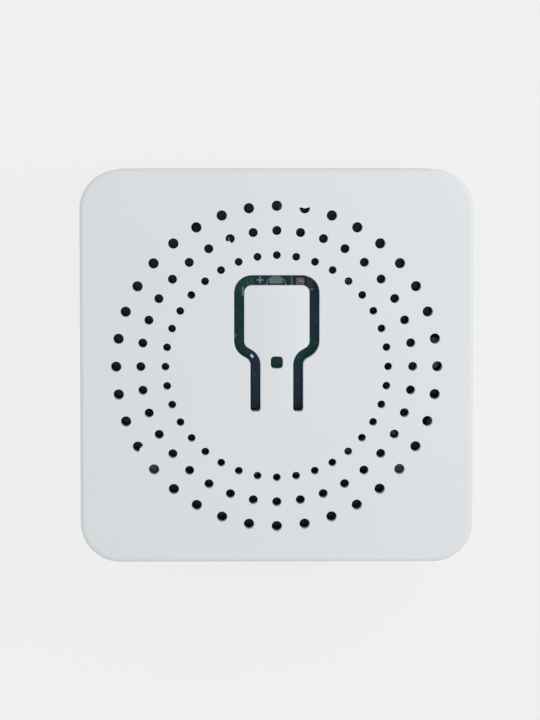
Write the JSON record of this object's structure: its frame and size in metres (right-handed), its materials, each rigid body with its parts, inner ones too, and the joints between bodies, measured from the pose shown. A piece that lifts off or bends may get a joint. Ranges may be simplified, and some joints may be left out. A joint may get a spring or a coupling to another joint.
{
  "type": "smart relay module",
  "caption": "Square white wall-box relay module with rings of vents, a flexible push button cut free by a slot, and screw wire terminals on one side.",
  "frame": {"origin": "middle of the back, where the module rests", "axes": "+Z out of the front face, +Y away from the terminal side, +X to the right as the front is seen"},
  "size_m": [0.0392, 0.0392, 0.018],
  "materials": {
    "case_white": "fine matt moulded polycarbonate",
    "label": "blank matt film",
    "board": "dark green solder mask over glass laminate",
    "terminal_plastic": "green moulded polyamide",
    "screw_steel": "zinc plated",
    "cage_steel": "nickel plated, formed",
    "tinned_copper": "tinned",
    "solder": "bright solder",
    "relay_plastic": "black moulded polyester",
    "bobbin_plastic": "dark moulded phenolic",
    "copper_wire": "enamelled copper",
    "soft_iron": "nickel plated iron",
    "contact_alloy": "bronze blade with silver alloy contact",
    "switch_plastic": "black moulded nylon",
    "spring_steel": "bright stainless sheet",
    "lamp_lens": "clear amber resin",
    "capacitor_sleeve": "dark shrink sleeve over an aluminium can",
    "seal_rubber": "black rubber bung",
    "resistor_coat": "blue-grey lacquer",
    "ferrite": "ground ferrite",
    "varistor_coat": "blue epoxy coat",
    "chip_plastic": "black mould compound",
    "ceramic": "brown-grey ceramic"
  },
  "bodies": {
    "root": {"back_label": "label", "base_housing": "case_white", "bulk_capacitor": "capacitor_sleeve", "capacitor_seals": "seal_rubber", "chip_capacitors": "ceramic", "chip_resistors": "chip_plastic", "component_leads": "tinned_copper", "converter_chip": "chip_plastic", "driver_transistor": "chip_plastic", "flyback_diode": "chip_plastic", "front_cover": "case_white", "fuse_resistor": "resistor_coat", "main_board": "board", "output_capacitor": "capacitor_sleeve", "radio_antenna": "copper_wire", "radio_board": "board", "radio_chip": "chip_plastic", "radio_crystal": "spring_steel", "radio_pins": "tinned_copper", "rectifier": "chip_plastic", "relay_base": "relay_plastic", "relay_bobbin": "bobbin_plastic", "relay_case": "relay_plastic", "relay_coil": "copper_wire", "relay_coil_pins": "tinned_copper", "relay_common_terminal": "tinned_copper", "relay_core": "soft_iron", "relay_fixed_contact": "contact_alloy", "relay_yoke": "soft_iron", "solder_joints": "solder", "status_lamp": "lamp_lens", "surface_leads": "tinned_copper", "switch_body": "switch_plastic", "switch_dome": "spring_steel", "switch_frame": "spring_steel", "terminal_block_1": "terminal_plastic", "terminal_block_2": "terminal_plastic", "terminal_block_3": "terminal_plastic", "terminal_contacts": "tinned_copper", "transformer_bobbin": "bobbin_plastic", "transformer_core": "ferrite", "transformer_winding": "copper_wire", "varistor": "varistor_coat"},
    "button": {"button_tongue": "case_white"},
    "plunger": {"switch_plunger": "switch_plastic"},
    "armature": {"relay_armature": "soft_iron", "relay_moving_contact": "contact_alloy"},
    "screw_1": {"terminal_screw_1": "screw_steel"},
    "cage_1": {"clamp_cage_1": "cage_steel"},
    "screw_2": {"terminal_screw_2": "screw_steel"},
    "cage_2": {"clamp_cage_2": "cage_steel"},
    "screw_3": {"terminal_screw_3": "screw_steel"},
    "cage_3": {"clamp_cage_3": "cage_steel"},
    "screw_4": {"terminal_screw_4": "screw_steel"},
    "cage_4": {"clamp_cage_4": "cage_steel"},
    "screw_5": {"terminal_screw_5": "screw_steel"},
    "cage_5": {"clamp_cage_5": "cage_steel"},
    "screw_6": {"terminal_screw_6": "screw_steel"},
    "cage_6": {"clamp_cage_6": "cage_steel"}
  },
  "joints": [
    {"name": "button_press", "type": "hinge", "parent": "root", "child": "button", "pos_m": [0, -0.0045, 0.0174], "axis": [-1, 0, 0], "range_deg": [0, 1.5], "stiffness_Nm_per_rad": 0.1},
    {"name": "switch_press", "type": "slide", "parent": "root", "child": "plunger", "axis": [0, 0, -1], "range_m": [0, 0.000245], "deforming": ["switch_dome"]},
    {"name": "armature_pull", "type": "hinge", "parent": "root", "child": "armature", "pos_m": [-0.01205, -0.00405, 0.0025], "axis": [-1, 0, 0], "range_deg": [0, 5], "stiffness_Nm_per_rad": 0.005, "springref_deg": -5.73},
    {"name": "screw_1_turn", "type": "hinge", "parent": "root", "child": "screw_1", "pos_m": [-0.0125, -0.0139, 0], "axis": [0, 0, 1], "range_deg": [0, 2160]},
    {"name": "cage_1_slide", "type": "slide", "parent": "root", "child": "cage_1", "axis": [0, 0, -1], "range_m": [0, 0.0027]},
    {"name": "screw_2_turn", "type": "hinge", "parent": "root", "child": "screw_2", "pos_m": [-0.0075, -0.0139, 0], "axis": [0, 0, 1], "range_deg": [0, 2160]},
    {"name": "cage_2_slide", "type": "slide", "parent": "root", "child": "cage_2", "axis": [0, 0, -1], "range_m": [0, 0.0027]},
    {"name": "screw_3_turn", "type": "hinge", "parent": "root", "child": "screw_3", "pos_m": [-0.0025, -0.0139, 0], "axis": [0, 0, 1], "range_deg": [0, 2160]},
    {"name": "cage_3_slide", "type": "slide", "parent": "root", "child": "cage_3", "axis": [0, 0, -1], "range_m": [0, 0.0027]},
    {"name": "screw_4_turn", "type": "hinge", "parent": "root", "child": "screw_4", "pos_m": [0.0025, -0.0139, 0], "axis": [0, 0, 1], "range_deg": [0, 2160]},
    {"name": "cage_4_slide", "type": "slide", "parent": "root", "child": "cage_4", "axis": [0, 0, -1], "range_m": [0, 0.0027]},
    {"name": "screw_5_turn", "type": "hinge", "parent": "root", "child": "screw_5", "pos_m": [0.0075, -0.0139, 0], "axis": [0, 0, 1], "range_deg": [0, 2160]},
    {"name": "cage_5_slide", "type": "slide", "parent": "root", "child": "cage_5", "axis": [0, 0, -1], "range_m": [0, 0.0027]},
    {"name": "screw_6_turn", "type": "hinge", "parent": "root", "child": "screw_6", "pos_m": [0.0125, -0.0139, 0], "axis": [0, 0, 1], "range_deg": [0, 2160]},
    {"name": "cage_6_slide", "type": "slide", "parent": "root", "child": "cage_6", "axis": [0, 0, -1], "range_m": [0, 0.0027]}
  ],
  "couplings": [
    {"joint": "button_press", "follows": "switch_press", "rad_per_m": 106.84},
    {"joint": "screw_1_turn", "follows": "cage_1_slide", "rad_per_m": 13963},
    {"joint": "screw_2_turn", "follows": "cage_2_slide", "rad_per_m": 13963},
    {"joint": "screw_3_turn", "follows": "cage_3_slide", "rad_per_m": 13963},
    {"joint": "screw_4_turn", "follows": "cage_4_slide", "rad_per_m": 13963},
    {"joint": "screw_5_turn", "follows": "cage_5_slide", "rad_per_m": 13963},
    {"joint": "screw_6_turn", "follows": "cage_6_slide", "rad_per_m": 13963}
  ]
}
